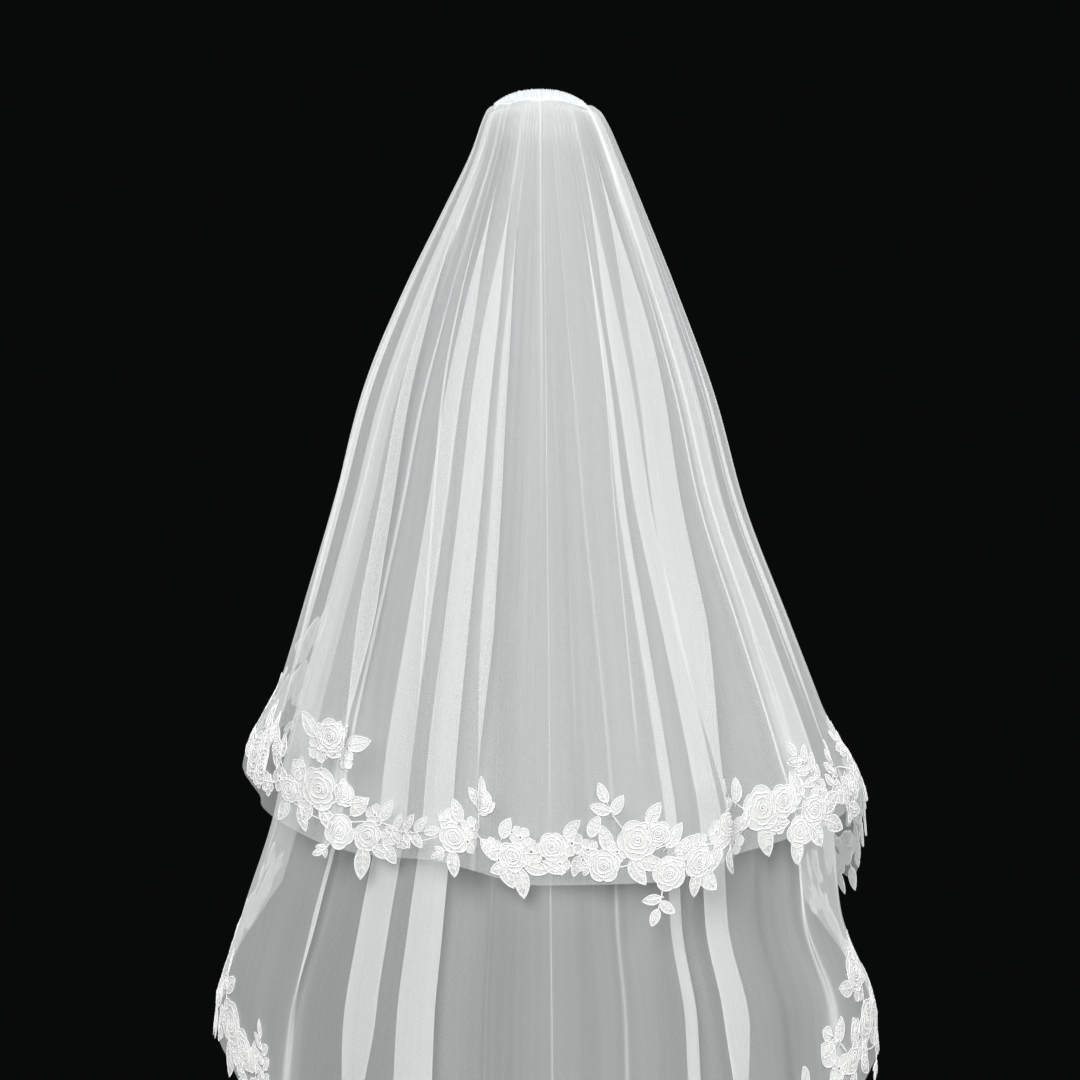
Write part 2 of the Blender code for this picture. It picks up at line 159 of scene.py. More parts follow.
# Each row is how far down a tier's hem lies at one angle round the back, in degrees.
HEM_COLUMNS = ("angle", "upper", "lower")
HEMS = (
    (-118, 0.731, 0.938),
    (-106, 0.763, 1.003),
    (-90, 0.795, 1.063),
    (-70, 0.825, 1.108),
    (-52, 0.856, 1.198),
    (-36, 0.878, 1.318),
    (-20, 0.882, 1.423),
    (0, 0.908, 1.483),
    (20, 0.906, 1.423),
    (36, 0.880, 1.318),
    (52, 0.861, 1.203),
    (70, 0.835, 1.133),
    (88, 0.819, 1.093),
    (106, 0.933, 1.023),
    (118, 0.878, 0.958),
)

# The sheets' fine folds, which start in the gathers and die out on the way down: how many there are,
# how far round the cloth they reach, how unevenly they are spread and how far they drift, in degrees,
# and the ranges of their widths, of how much cloth they fold over, of how far they stand and of the
# drops at which they are full and gone.
FINE_FOLDS = {"upper": 15, "lower": 13}
FINE_REACH = 104
FINE_SPREAD = 6
FINE_DRIFT = 3
FINE_WIDTH = (0.005, 0.011)
FINE_FOLDED = (0.6, 1.5)
FINE_STAND = (0.0014, 0.0034)
FINE_FULL = (0.08, 0.24)
FINE_GONE = (0.34, 0.95)
NEVER_GONE = 9.0
GONE_OVER = 0.22
FINE_SEEDS = {"upper": 7, "lower": 11}

# A pleat that folds over more than DEEP_FOLD of its width is deeper here than in the solids
DEEP_FOLD = 1.3
PLEATS_DEEPER = 1.45

# The small gathers right under the heading: how many, how far down they fade, how high they are as a
# share of their length, the waves (amount, pace, shift) that make them uneven in length, and the two
# (pace, shift) that make them uneven in height
GATHERS = {"upper": 46, "lower": 58}
GATHER_FADE = 0.075
GATHER_SLOPE = 0.15
GATHER_LENGTHS = ((0.55, 41, 1.0), (0.8, 23, 0.0), (0.5, 67, 2.0))
GATHER_HEIGHTS = ((31, 0.7), (17, 0.0))

# The sheets' meshes. Their rows are closer together near the heading by a power of the way down, and
# their columns are closer by FOLD_COLUMNS over a fold's width in that fold.
SHEET_COLUMNS = 640
SHEET_ROWS = 154
ROW_POWER = 1.25
FOLD_COLUMNS = 0.012
CLOSE_STEPS = 12001
HEM_STEPS = 3001
SECTION_STEPS = 721

# How steep the cloth may move along the section and still look turned, as on a fold's edge, and how
# much a gather's crest adds. Then the cloth counts as gathered by a bell under the heading, and a
# little round the sides, from one angle on and over a few degrees more.
TURNED_SLOPE = 0.42
CREST_TURNED = 0.5
GATHERED_FADE = 0.011
SIDES_GATHERED = 0.16
SIDES_FROM = 40
SIDES_OVER = 45

# The lace of the middle back: the motif, how far along the hem from its middle and how far above its
# edge it lies, which way it points in degrees, and its size. Past both ends it comes again, mirrored.
GARLAND_HALF = 0.430
GARLAND = (
    ("leaf", -0.450, 0.030, 12, 0.038),
    ("blossom", -0.442, 0.020, 0, 0.034),
    ("leaf", -0.436, 0.041, 60, 0.044),
    ("rose", -0.415, 0.032, 0, 0.044),
    ("leaf", -0.408, 0.057, 100, 0.038),
    ("blossom", -0.367, 0.029, 10, 0.024),
    ("leaf", -0.360, 0.035, 200, 0.040),
    ("leaf", -0.352, 0.053, 118, 0.040),
    ("blossom", -0.345, 0.045, 20, 0.030),
    ("spray", -0.334, 0.053, 128, 0.058),
    ("rose", -0.325, 0.041, 0, 0.030),
    ("leaf", -0.324, 0.029, 250, 0.030),
    ("blossom", -0.316, 0.066, 30, 0.022),
    ("leaf", -0.312, 0.047, 95, 0.034),
    ("leaf", -0.307, 0.029, 300, 0.028),
    ("blossom", -0.301, 0.038, 20, 0.026),
    ("leaf", -0.300, 0.107, 150, 0.032),
    ("blossom", -0.294, 0.098, 0, 0.030),
    ("leaf", -0.292, 0.038, 255, 0.028),
    ("spray", -0.286, 0.077, 78, 0.056),
    ("rose", -0.286, 0.114, 20, 0.038),
    ("rose", -0.285, 0.057, 0, 0.044),
    ("leaf", -0.285, 0.093, 120, 0.034),
    ("leaf", -0.279, 0.039, 310, 0.030),
    ("leaf", -0.274, 0.101, 70, 0.036),
    ("buds", -0.261, 0.005, 235, 0.030),
    ("blossom", -0.256, 0.099, 30, 0.028),
    ("leaf", -0.255, 0.113, 20, 0.032),
    ("rose", -0.253, 0.060, 60, 0.030),
    ("rose", -0.252, 0.018, 20, 0.038),
    ("leaf", -0.244, 0.051, 20, 0.026),
    ("leaf", -0.241, 0.039, 50, 0.032),
    ("leaf", -0.237, 0.023, 340, 0.030),
    ("leaf", -0.219, 0.009, 278, 0.036),
    ("rose", -0.214, 0.020, 40, 0.034),
    ("blossom", -0.211, 0.044, 10, 0.026),
    ("leaf", -0.208, 0.009, 340, 0.028),
    ("leaf", -0.199, 0.038, 60, 0.026),
    ("leaf", -0.195, 0.011, 320, 0.028),
    ("branch", -0.189, 0.030, 4, 0.068),
    ("blossom", -0.187, 0.023, 40, 0.026),
    ("blossom", -0.165, 0.020, 30, 0.024),
    ("blossom", -0.115, 0.047, 20, 0.026),
    ("buds", -0.109, 0.017, 215, 0.026),
    ("leaf", -0.105, 0.015, 272, 0.028),
    ("rose", -0.103, 0.029, 0, 0.034),
    ("leaf", -0.097, 0.047, 110, 0.026),
    ("blossom", -0.090, 0.029, 30, 0.026),
    ("blossom", -0.085, 0.045, 50, 0.026),
    ("spray", -0.073, 0.047, 82, 0.054),
    ("leaf", -0.070, 0.036, 322, 0.028),
    ("rose", -0.069, 0.077, 0, 0.028),
    ("blossom", -0.055, 0.030, 0, 0.026),
    ("leaf", -0.046, 0.044, 70, 0.026),
    ("leaf", -0.045, 0.018, 300, 0.028),
    ("leaf", -0.036, 0.018, 215, 0.026),
    ("rose", -0.031, 0.027, 30, 0.034),
    ("leaf", -0.025, 0.018, 286, 0.034),
    ("leaf", -0.021, 0.023, 342, 0.030),
    ("blossom", -0.021, 0.050, 30, 0.026),
    ("blossom", -0.007, 0.036, 10, 0.028),
    ("leaf", 0.003, 0.026, 330, 0.028),
    ("rose", 0.015, 0.042, 20, 0.032),
    ("blossom", 0.023, 0.023, 10, 0.024),
    ("leaf", 0.026, 0.053, 40, 0.026),
    ("blossom", 0.038, 0.045, 60, 0.028),
    ("leaf", 0.044, 0.032, 250, 0.024),
    ("blossom", 0.056, 0.038, 30, 0.026),
    ("leaf", 0.057, 0.051, 70, 0.026),
    ("buds", 0.066, 0.023, 198, 0.028),
    ("rose", 0.072, 0.020, 10, 0.034),
    ("leaf", 0.077, 0.035, 100, 0.030),
    ("blossom", 0.087, 0.035, 10, 0.026),
    ("spray", 0.098, 0.059, 112, 0.054),
    ("leaf", 0.104, 0.027, 292, 0.034),
    ("leaf", 0.108, 0.026, 345, 0.034),
    ("rose", 0.111, 0.047, 0, 0.046),
    ("leaf", 0.125, 0.062, 60, 0.028),
    ("rose", 0.135, 0.053, 50, 0.028),
    ("spray", 0.138, 0.000, 250, 0.046),
    ("leaf", 0.144, 0.036, 48, 0.030),
    ("rose", 0.144, 0.008, 30, 0.038),
    ("leaf", 0.153, 0.029, 22, 0.028),
    ("leaf", 0.161, 0.012, 150, 0.026),
    ("blossom", 0.162, 0.029, 0, 0.024),
    ("leaf", 0.174, 0.002, 262, 0.028),
    ("rose", 0.179, 0.011, 60, 0.034),
    ("blossom", 0.182, 0.030, 0, 0.026),
    ("leaf", 0.185, 0.002, 296, 0.034),
    ("leaf", 0.197, 0.017, 20, 0.028),
    ("blossom", 0.203, 0.035, 20, 0.024),
    ("leaf", 0.204, 0.020, 250, 0.028),
    ("leaf", 0.219, 0.012, 276, 0.030),
    ("rose", 0.222, 0.039, 20, 0.030),
    ("blossom", 0.243, 0.014, 40, 0.028),
    ("leaf", 0.252, 0.024, 60, 0.026),
    ("leaf", 0.260, 0.036, 200, 0.028),
    ("spray", 0.267, 0.041, 128, 0.062),
    ("leaf", 0.278, 0.024, 285, 0.038),
    ("rose", 0.282, 0.041, 0, 0.048),
    ("leaf", 0.285, 0.023, 350, 0.034),
    ("blossom", 0.303, 0.020, 20, 0.026),
    ("rose", 0.312, 0.041, 40, 0.038),
    ("leaf", 0.321, -0.002, 278, 0.032),
    ("rose", 0.327, 0.003, 10, 0.034),
    ("leaf", 0.329, 0.030, 75, 0.034),
    ("leaf", 0.342, 0.038, 110, 0.030),
    ("rose", 0.345, 0.020, 50, 0.032),
    ("leaf", 0.345, 0.009, 288, 0.030),
    ("leaf", 0.357, 0.014, 18, 0.034),
    ("blossom", 0.359, 0.035, 20, 0.028),
    ("leaf", 0.360, 0.006, 325, 0.034),
    ("branch", 0.362, 0.041, 118, 0.058),
    ("blossom", 0.366, 0.020, 30, 0.026),
    ("branch", 0.383, 0.027, 62, 0.054),
    ("blossom", 0.393, 0.021, 50, 0.026),
    ("leaf", 0.420, 0.005, 50, 0.030),
    ("leaf", 0.423, -0.002, 330, 0.030),
    ("blossom", 0.447, 0.011, 30, 0.028),
)
GARLAND_SEEDS = {"upper": 5, "lower": 9}

# How far a motif may slip along the hem, its size vary and its face lift off the net, how far above
# the net a rose lies, and how near a front edge a motif or the stem may come
MOTIF_SLIP = 0.0015
MOTIF_SIZES = (0.95, 1.06)
MOTIF_LIFT = 0.0004
ROSE_LIFT = 0.0008
MOTIF_MARGIN = 0.022
STEM_MARGIN = 0.014

# The stem that the motifs hang on: how far above the edge it runs, its points' spacing and its waves
# (how far, how fast along the hem)
STEM_ABOVE = 0.030
STEM_STEP = 0.005
STEM_WAVES = ((0.009, 50), (0.004, 61))

# The tulle's lengthwise streaks (how fine across and along, and how much they veil), how much more it
# veils where it is turned on edge and where it is gathered, and its holes as drawn
TULLE_STREAKS = ((38, 0.6, 0.10), (230, 2.5, 0.05))
TURNED_VEILS = 0.36
GATHERED_VEILS = 0.50
TULLE_HOLE = 0.0026

# Lace: how far its filling lies above the net, the gap between the filling's threads as drawn, the
# cord's radius, and how far above the filling's edge each cord and each filling's crown lie
LACE_BASE = 0.0005
LACE_MESH = 0.0020
CORD_RADIUS = 0.00085
EDGE_CORD = 0.0005
VEIN_CORD = 0.0009
MIDRIB_CORD = 0.0011
EYE_CORD = 0.0010
STEM_CORD = 0.0006
HEART_CORD = 0.0016
HEART_RISE = 0.0008
RUNNING_CORD = 0.0002
LEAF_CROWN = 0.0007
ROSE_CROWN = 0.0012
PETAL_CROWN = 0.0006

# Shares of a leaf's length: its width, the most that it bends, where its midrib runs, where its side
# veins start and how far on they end. They reach a share of the way to its edge.
LEAF_WIDTH = 0.50
LEAF_BEND = 0.22
MIDRIB = (-0.14, 0.84)
LEAF_VEINS = (0.24, 0.44, 0.62)
VEIN_RISE = 0.14
VEIN_REACH = 0.75

# A rose's rings (reach as a share of its size, petals, height), how deep its petals are notched and how
# far its heart reaches; then shares of a blossom's size: half a petal's width, where petals start and
# the eye's radius
ROSE_RINGS = ((1.0, 5, 0.0005), (0.72, 5, 0.0011), (0.48, 3, 0.0015))
ROSE_NOTCH = 0.20
HEART_REACH = 0.27
PETAL_WIDTH = 0.21
PETAL_START = 0.12
EYE_REACH = 0.09

# How much of a motif's size its stem takes, how far the stem bows, how far a leaf's angle may sway in
# degrees, and the leaves on each kind of stem: where on the stem a leaf starts, its angle in degrees
# and its length, as shares of the whole
STEM_SHARE = 0.8
SPRAY_BOW = 0.08
BRANCH_BOW = 0.06
LEAF_SWAY = 6
SPRAY_LEAVES = ((0.60, 4, 0.42), (0.42, 60, 0.44), (0.34, -56, 0.44))
BRANCH_LEAVES = (
    (0.72, 2, 0.30),
    (0.56, 52, 0.32),
    (0.50, -50, 0.32),
    (0.34, 56, 0.34),
    (0.28, -54, 0.34),
    (0.12, 60, 0.30),
    (0.08, -60, 0.28),
)
BUD_LEAVES = ((0.50, 0, 0.42), (0.34, 42, 0.40), (0.30, -42, 0.40))

# How far apart the places lie between which the lace takes the cloth's directions
NEAR = 0.0008

# The roll reaches HEADING_TUCK down over the cloth's edge, which tucks up into it by TUCK_UP, its depth
# drawn in to TUCK_IN of what it was. The roll has ROLL_RINGS round it, of ROLL_SIDES points each, is
# thinner at its ends by ROLL_THINS with a power of the way there, and has ridges of two heights.
HEADING_TUCK = 0.0025
TUCK_UP = 0.006
TUCK_IN = 0.5
ROLL_RINGS = 241
ROLL_SIDES = 36
ROLL_THINS = 0.5
ROLL_POWER = 3.2
ROLL_RIDGE = 0.0005
ROLL_FINE_RIDGE = 0.0003
ROLL_INSET = 0.0007
ROLL_MEAN_RADIUS = 0.006
ROLL_GATHERS = 19
ROLL_UNEVEN = ((0.7, 9, 0.0), (0.5, 23, 1.0))

# Stitches: half the depth and height of a loop of thread, how far it leans and the thread's radius
STITCH_DEPTH = 0.0021
STITCH_HEIGHT = 0.0052
STITCH_LEAN = 0.0006
THREAD_RADIUS = 0.0004

# Each tier's cut: the rectangle it comes from and the area left of it; then its pattern's seed and how
# much one layer of it veils, more in the lower one, whose folds lie closer
CUTS = {"upper": ((1.20, 0.90), 0.90, 0.0, 0.27), "lower": ((1.40, 1.50), 1.50, 5.0, 0.35)}

# The studio: how many layers of net a ray may pass, the floor's height, radius and corners, the camera,
# what the lights face, and each light by name, place, size and power
NET_LAYERS = 64
FLOOR_LEVEL = -1.72
FLOOR_RADIUS = 1.6
FLOOR_SIDES = 96
SURROUND_STRENGTH = 0.5
CAMERA_PLACE = (0, -3.2, -0.5095)
CAMERA_LENS = 91.17
LIGHTS_FACE = (0, 0, -0.6)
LIGHTS = (
    ("key", (-1.2, -3.6, 1.0), 2.4, 150),
    ("fill", (2.6, -2.4, 0.2), 2.4, 70),
    ("left_back", (-2.8, 2.4, 0.6), 2.0, 80),
    ("right_back", (2.8, 2.6, 0.8), 2.0, 80),
    ("overhead", (0, 0, 2.4), 2.0, 35),
)


def table_column(rows, names, name):
    """One named column of a table as an array."""
    return np.array([row[names.index(name)] for row in rows], float)


def smooth_step(x):
    """0 below 0, 1 above 1, and a smooth S between."""
    x = np.clip(x, 0.0, 1.0)
    return x * x * (3 - 2 * x)


def smooth_curve(x, known, values):
    """A curve through known values that doesn't overshoot: cubics whose slope at each value is the
    harmonic mean of the steps on either side, or level where those steps change sign."""
    steps = np.diff(values) / np.diff(known)
    products = steps[:-1] * steps[1:]
    sums = np.where(products > 0, steps[:-1] + steps[1:], 1.0)
    slopes = np.concatenate([steps[:1], 2 * np.maximum(products, 0) / sums, steps[-1:]])
    i = np.clip(np.searchsorted(known, x) - 1, 0, len(known) - 2)
    width = known[i + 1] - known[i]
    t = (x - known[i]) / width
    start = values[i] * (1 + 2 * t) + slopes[i] * width * t
    end = values[i + 1] * (3 - 2 * t) + slopes[i + 1] * width * (t - 1)
    return start * (1 - t) ** 2 + end * t**2


def section_size(name, drop):
    """A section's half width or depth at any drop."""
    drops = table_column(SECTIONS, SECTION_COLUMNS, "drop")
    return smooth_curve(drop, drops, table_column(SECTIONS, SECTION_COLUMNS, name))


def heading_sag(x):
    """How far the heading's arch has fallen at a distance from its middle."""
    return HEADING_ARCH * (2 * x / HEADING_LENGTH) ** 2


def mean_point(angle, drop):
    """Where the unpleated cloth lies: half an ellipse behind and a shallower one in front."""
    left, right = section_size("left", drop), section_size("right", drop)
    back, front = section_size("back", drop), section_size("front", drop)
    reach = left + (right - left) * smooth_step((np.sin(angle) + SIDE_BLEND) / (2 * SIDE_BLEND))
    depth = front + (back - front) * smooth_step((np.cos(angle) + DEPTH_BLEND) / (2 * DEPTH_BLEND))
    x = reach * np.sin(angle)
    sagging = np.clip(1 - (drop - CLOTH_TOP) / SAG_FADE, 0, 1)
    sag = heading_sag(np.clip(x, -HEADING_LENGTH / 2, HEADING_LENGTH / 2)) * sagging
    return np.stack([x, -depth * np.cos(angle), TOP - drop - sag], -1)


def mean_normal(angle, drop):
    """The unpleated cloth's outward unit normal, from differences along it and down it."""
    turn, fall = 1e-3, 2e-4
    above = np.maximum(drop - fall, CLOTH_TOP)
    across = mean_point(angle + turn, drop) - mean_point(angle - turn, drop)
    down = mean_point(angle, above + 2 * fall) - mean_point(angle, above)
    normal = np.cross(down, across)
    return normal / np.linalg.norm(normal, axis=-1, keepdims=True)


def reference_run():
    """Angles and how far along the section at the reference drop each lies, 0 at the back."""
    angles = np.linspace(-WRAP, WRAP, SECTION_STEPS)
    points = mean_point(angles, np.full_like(angles, REFERENCE_DROP))
    steps = np.linalg.norm(np.diff(points, axis=0), axis=1)
    run = np.concatenate([[0.0], np.cumsum(steps)])
    return angles, run - np.interp(0.0, angles, run)


ANGLES, RUN_OF = reference_run()


def section_scale(drop):
    """A section's size as a share of the reference section's, up to 1."""
    size = sum(section_size(name, drop) for name in ("left", "right", "back"))
    there = sum(section_size(name, np.array(REFERENCE_DROP)) for name in ("left", "right", "back"))
    return np.minimum(size / there, 1.0)


def fine_folds(tier):
    """Rows like the pleats' for the fine folds, unevenly spread round the cloth, with the drops at
    which they are gone."""
    draws = np.random.default_rng(FINE_SEEDS[tier])
    count = FINE_FOLDS[tier]
    hem = np.linspace(-FINE_REACH, FINE_REACH, count) + draws.uniform(-FINE_SPREAD, FINE_SPREAD, count)
    top = hem + draws.normal(0, FINE_DRIFT, count)
    width = draws.uniform(*FINE_WIDTH, count)
    folded = draws.uniform(*FINE_FOLDED, count)
    stands = draws.uniform(*FINE_STAND, count)
    lean = np.where(draws.random(count) < 0.5, -1, 1)
    full = draws.uniform(*FINE_FULL, count)
    gone = draws.uniform(*FINE_GONE, count)
    return list(zip(top, hem, width, folded, stands, lean, full, gone))


def main_folds(tier):
    """The solids' pleats, the deep ones folding over more cloth here, and never gone."""
    rows = []
    for top, hem, width, folded, stands, lean, full in PLEATS[tier]:
        deeper = folded * PLEATS_DEEPER if folded > DEEP_FOLD else folded
        rows.append((top, hem, width, deeper, stands, lean, full, NEVER_GONE))
    return rows


FOLDS = {tier: [*main_folds(tier), *fine_folds(tier)] for tier in PLEATS}


def pleated(tier, run, drop, to_hem):
    """(run moved along the section, height off it) for places along the cloth at their drops.

    In a pleat the cloth runs on, back and on again: its place moves by -A v exp(-v v), v being the
    distance from the pleat's middle in widths. Meanwhile it climbs by half of 1 + tanh(steepness v)
    times the height, and settles back over the next stretch. At the heading a pleat is only a ripple,
    and near the hem the lace holds it open.
    """
    down = smooth_step((drop - FAN_FROM) / (FAN_TO - FAN_FROM))
    early = CLIMB_EARLY if tier == "upper" else -CLIMB_EARLY
    opened = FOLD_AT_HEM + (1 - FOLD_AT_HEM) * smooth_step((to_hem - OPEN_BY) / (OPEN_FROM - OPEN_BY))
    moved = height = 0 * run
    for top, hem, width, folded, stands, lean, full, gone in FOLDS[tier]:
        first, last = np.interp(np.radians([top, hem]), ANGLES, RUN_OF)
        v = lean * (run - last) / width
        grown = smooth_step((drop - PLEAT_FROM) / (full - PLEAT_FROM))
        left = smooth_step((gone - drop) / GONE_OVER)
        strength = (FOLD_AT_HEADING + (1 - FOLD_AT_HEADING) * grown) * left
        over = np.minimum(folded, folded * opened + HEM_LEAVES) * strength
        moved = moved - lean * over * width * v * np.exp(-v * v)
        moved = moved + (first - last) * (1 - down) * np.exp(-((v / DRIFT_WIDTHS) ** 2))
        settle = min(SETTLE, SETTLE_WIDTHS * width)
        settled = np.exp(-((np.maximum(v - SETTLE_AFTER, 0) * width / settle) ** 2))
        climb = 0.5 * (1 + np.tanh(CLIMB_STEEPNESS * (v + early))) * settled
        height = height + stands * (HEIGHT_AT_HEADING + (1 - HEIGHT_AT_HEADING) * strength) * climb
    return run + moved, height


def gather_wave(tier, run, drop):
    """(height, ridge) of the gathers under the heading: a wave of uneven length along the cloth, as
    high as a share of its own length, that fades down the veil. The ridge is 1 on each crest."""
    whole = RUN_OF[-1] - RUN_OF[0]
    along = (run - RUN_OF[0]) / whole
    uneven = sum(amount * np.sin(pace * along + shift) for amount, pace, shift in GATHER_LENGTHS)
    phase = 2 * np.pi * (GATHERS[tier] * along + uneven)
    slow, slower = (np.sin(pace * along + shift) for pace, shift in GATHER_HEIGHTS)
    varied = (0.5 + 0.5 * slow * slower) ** 1.5
    fade = np.exp(-((drop / GATHER_FADE) ** 1.5)) * varied
    length = whole * section_scale(drop) / GATHERS[tier]
    crest = 0.5 + 0.5 * np.cos(phase)
    return GATHER_SLOPE * length * fade * crest, crest**6 * fade


def hem_drops(tier, run):
    """How far down a tier's hem lies at each place along its cloth."""
    moved, _ = pleated(tier, run, np.full_like(run, REFERENCE_DROP), 0.0)
    angle = np.degrees(np.interp(moved, RUN_OF, ANGLES))
    lengths = table_column(HEMS, HEM_COLUMNS, tier)
    return smooth_curve(angle, table_column(HEMS, HEM_COLUMNS, "angle"), lengths)


def tier_surface(tier, run, drop, to_hem):
    """A tier's sheet for places along its cloth, their drops and what is left to the hem."""
    side = 1 if tier == "upper" else -1
    moved, height = pleated(tier, run, drop, to_hem)
    angle = np.interp(moved, RUN_OF, ANGLES)
    gap = TIER_GAP_TOP + (TIER_GAP_HEM - TIER_GAP_TOP) * smooth_step(drop / GAP_FULL_AT)
    gathered, _ = gather_wave(tier, run, drop)
    stand = side * (gap / 2 + height * section_scale(drop) + gathered)
    if tier == "upper":
        for middle, out, width in FLARES:
            near = np.exp(-(((angle - math.radians(middle)) / math.radians(width)) ** 2))
            stand = stand + out * near * smooth_step(1 - to_hem / FLARE_HEIGHT)
    return mean_point(angle, drop) + mean_normal(angle, drop) * stand[..., None]


def sheet_columns(tier):
    """Places along the cloth for the sheet's mesh columns, closer together in its folds."""
    fine = np.linspace(RUN_OF[0], RUN_OF[-1], CLOSE_STEPS)
    density = 1 + 0 * fine
    for _, hem, width, *_ in FOLDS[tier]:
        v = (fine - np.interp(math.radians(hem), ANGLES, RUN_OF)) / width
        density = density + FOLD_COLUMNS / width * np.exp(-(v**4) / 8)
    total = np.cumsum(density)
    return np.interp(np.linspace(total[0], total[-1], SHEET_COLUMNS), total, fine)


def node(tree, kind, inputs=None, **settings):
    """Adds a shader node with its settings. An input is a value or another node's output."""
    made = tree.nodes.new(kind)
    for name, value in settings.items():
        setattr(made, name, value)
    for name, value in (inputs or {}).items():
        if isinstance(value, bpy.types.NodeSocket):
            tree.links.new(value, made.inputs[name])
        else:
            made.inputs[name].default_value = value
    return made


def linear(hexed):
    """An sRGB hex colour as linear RGBA."""
    parts = [int(hexed[i : i + 2], 16) / 255 for i in (0, 2, 4)]
    return (*[c / 12.92 if c <= 0.04045 else ((c + 0.055) / 1.055) ** 2.4 for c in parts], 1.0)


def started_material(name):
    """(material, its tree, its shader)."""
    made = bpy.data.materials.new(name)
    made.use_nodes = True
    return made, made.node_tree, made.node_tree.nodes["Principled BSDF"]


def tulle(name, seed, veils):
    """Soft nylon tulle, a fine six-sided net: a white mist over what is behind it. One layer lets about
    two thirds through. It veils more where its threads lie closer: where a fold turns over, in the
    gathers and in faint lengthwise streaks. The real net has about 1 mm holes, too fine to show, and
    is drawn 2.6 mm wide and faint. The veil is the sum of these amounts."""
    made, tree, shader = started_material(name)
    flat = node(tree, "ShaderNodeUVMap", uv_map="flat").outputs[0]
    alpha = veils
    for across, along, amount in TULLE_STREAKS:
        moved = {"Vector": flat, "Location": (across + seed, seed, 0), "Scale": (across, along, 1)}
        places = node(tree, "ShaderNodeMapping", moved).outputs[0]
        streak = node(tree, "ShaderNodeTexNoise", {"Vector": places, "Scale": 1.0, "Detail": 1.5})
        centred = node(tree, "ShaderNodeMath", {0: streak.outputs["Fac"], 1: -0.5}, operation="ADD")
        added = {0: centred.outputs[0], 1: amount, 2: alpha}
        alpha = node(tree, "ShaderNodeMath", added, operation="MULTIPLY_ADD").outputs[0]
    for attribute, amount in (("turned", TURNED_VEILS), ("gathered", GATHERED_VEILS)):
        found = node(tree, "ShaderNodeAttribute", attribute_name=attribute).outputs["Fac"]
        added = {0: found, 1: amount, 2: alpha}
        alpha = node(tree, "ShaderNodeMath", added, operation="MULTIPLY_ADD").outputs[0]
    net = node(tree, "ShaderNodeTexVoronoi", {"Vector": flat, "Scale": 1 / TULLE_HOLE, "Randomness": 0.9},
               voronoi_dimensions="2D", feature="DISTANCE_TO_EDGE").outputs["Distance"]
    limits = {"Value": net, "From Min": 0.05, "From Max": 0.2, "To Min": 0.020, "To Max": -0.006}
    thread = node(tree, "ShaderNodeMapRange", limits).outputs["Result"]
    alpha = node(tree, "ShaderNodeMath", {0: alpha, 1: thread}, operation="ADD", use_clamp=True).outputs[0]
    tree.links.new(alpha, shader.inputs["Alpha"])
    shader.inputs["Base Color"].default_value = linear("f5f8f8")
    shader.inputs["Roughness"].default_value = 0.7
    shader.inputs["Specular IOR Level"].default_value = 0.3
    shader.inputs["Sheen Weight"].default_value = 0.15
    return made


def twisted_thread(name):
    """Twisted thread, as rayon cord sewn round the motifs or as sewing thread. It is the brightest
    white of the lace, with a soft sheen and a 1 mm twist that shows as fine knobs."""
    made, tree, shader = started_material(name)
    place = node(tree, "ShaderNodeTexCoord").outputs["Object"]
    twist = node(tree, "ShaderNodeTexNoise", {"Vector": place, "Scale": 1000.0, "Detail": 1.0}).outputs["Fac"]
    bump = node(tree, "ShaderNodeBump", {"Height": twist, "Strength": 0.35, "Distance": 0.0004})
    tree.links.new(bump.outputs[0], shader.inputs["Normal"])
    shader.inputs["Base Color"].default_value = linear("ffffff")
    shader.inputs["Roughness"].default_value = 0.5
    shader.inputs["Sheen Weight"].default_value = 0.2
    return made


def lace_filling():
    """The motifs' filling: a close cotton net, a duller white than the cords round it, which lets a
    little of the tulle through between its threads. They lie about 1.5 mm apart, drawn 2 mm."""
    made, tree, shader = started_material("lace_filling")
    flat = node(tree, "ShaderNodeUVMap", uv_map="flat").outputs[0]
    net = node(tree, "ShaderNodeTexVoronoi", {"Vector": flat, "Scale": 1 / LACE_MESH, "Randomness": 0.6},
               voronoi_dimensions="2D", feature="DISTANCE_TO_EDGE").outputs["Distance"]
    limits = {"Value": net, "From Min": 0.02, "From Max": 0.30, "To Min": 0.90, "To Max": 0.55}
    alpha = node(tree, "ShaderNodeMapRange", limits).outputs["Result"]
    tree.links.new(alpha, shader.inputs["Alpha"])
    bump = node(tree, "ShaderNodeBump", {"Height": net, "Strength": 0.4, "Distance": 0.0005}, invert=True)
    tree.links.new(bump.outputs[0], shader.inputs["Normal"])
    shader.inputs["Base Color"].default_value = linear("f0f2f0")
    shader.inputs["Roughness"].default_value = 0.65
    return made


def rolled_tulle():
    """The tulle rolled over itself at the heading: many layers, so it is opaque and white, with the
    gathers' threads as fine greyer streaks across the roll."""
    made, tree, shader = started_material("rolled_tulle")
    flat = node(tree, "ShaderNodeUVMap", uv_map="flat").outputs[0]
    places = node(tree, "ShaderNodeMapping", {"Vector": flat, "Scale": (700, 40, 1)}).outputs[0]
    threads = node(tree, "ShaderNodeTexNoise", {"Vector": places, "Scale": 1.0, "Detail": 3.0}).outputs["Fac"]
    shades = {"Factor": threads, "A": linear("bfc5c6"), "B": linear("e6eaea")}
    colour = node(tree, "ShaderNodeMix", shades, data_type="RGBA").outputs["Result"]
    tree.links.new(colour, shader.inputs["Base Color"])
    bump = node(tree, "ShaderNodeBump", {"Height": threads, "Strength": 0.3, "Distance": 0.0006})
    tree.links.new(bump.outputs[0], shader.inputs["Normal"])
    shader.inputs["Roughness"].default_value = 0.75
    return made


